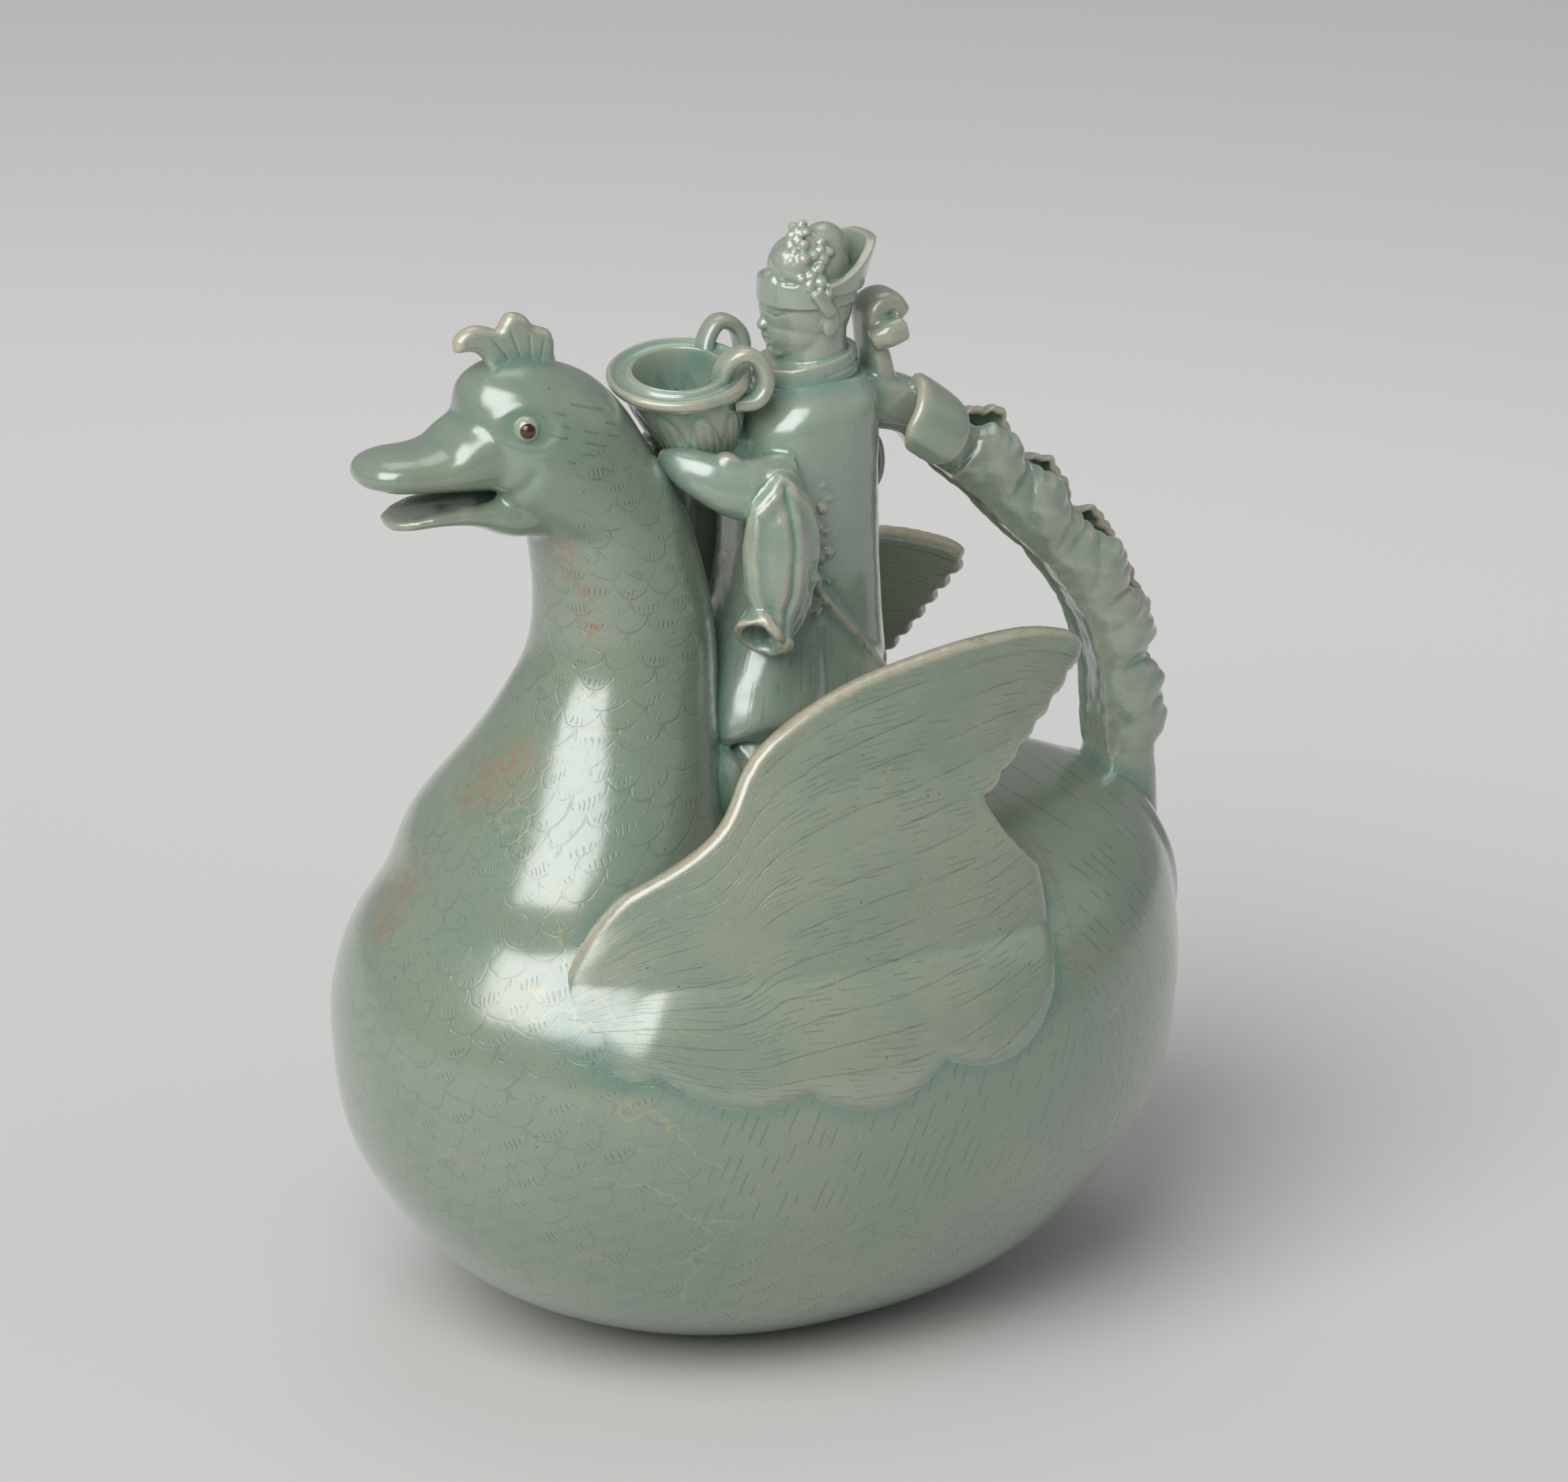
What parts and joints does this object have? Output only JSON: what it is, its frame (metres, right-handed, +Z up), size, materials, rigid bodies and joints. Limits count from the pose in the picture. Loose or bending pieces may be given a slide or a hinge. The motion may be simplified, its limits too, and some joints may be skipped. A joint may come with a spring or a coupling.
{
  "type": "bird-shaped ewer",
  "caption": "Crested water bird ewer in celadon stoneware, with raised wings, a leafy nape-to-tail handle and a crowned rider who holds a bowl that fills it.",
  "frame": {"origin": "on the flat foot that the ewer stands on, under the middle of its body", "axes": "+Z up, -X towards the bill, +X towards the tail, -Y the bird's left side"},
  "size_m": [0.1739, 0.1294, 0.212],
  "materials": {
    "celadon_glaze": "gloss grey-green celadon glaze over grey stoneware, finely crackled",
    "pooled_glaze": "gloss celadon glaze, bluer where it has pooled in the modelling",
    "iron_pellet": "gloss dark iron-brown pellet under the glaze"
  },
  "bodies": {
    "root": {"belly_body": "celadon_glaze", "neck": "celadon_glaze", "head": "celadon_glaze", "upper_bill": "celadon_glaze", "lower_bill": "celadon_glaze", "crest": "celadon_glaze", "tail": "celadon_glaze", "handle_strap": "celadon_glaze", "handle_curl_tab": "celadon_glaze", "handle_top_loop": "celadon_glaze", "handle_roll": "celadon_glaze", "rider_robe": "pooled_glaze", "rider_hem": "pooled_glaze", "rider_collar": "pooled_glaze", "rider_head": "pooled_glaze", "hat_band": "pooled_glaze", "hat_cap": "pooled_glaze", "hat_brim": "pooled_glaze", "hat_flower": "pooled_glaze", "filling_bowl": "pooled_glaze", "fill_duct": "pooled_glaze", "back_bow": "pooled_glaze", "eye_left": "iron_pellet", "wing_left": "celadon_glaze", "boot_left": "pooled_glaze", "forearm_left": "pooled_glaze", "sleeve_left": "pooled_glaze", "ribbon_loop_left": "pooled_glaze", "handle_leaf_left_1": "celadon_glaze", "handle_leaf_left_2": "celadon_glaze", "handle_leaf_left_3": "celadon_glaze", "handle_leaf_left_4": "celadon_glaze", "handle_leaf_left_5": "celadon_glaze", "eye_right": "iron_pellet", "wing_right": "celadon_glaze", "boot_right": "pooled_glaze", "forearm_right": "pooled_glaze", "sleeve_right": "pooled_glaze", "ribbon_loop_right": "pooled_glaze", "handle_leaf_right_1": "celadon_glaze", "handle_leaf_right_2": "celadon_glaze", "handle_leaf_right_3": "celadon_glaze", "handle_leaf_right_4": "celadon_glaze", "handle_leaf_right_5": "celadon_glaze"}
  },
  "joints": []
}
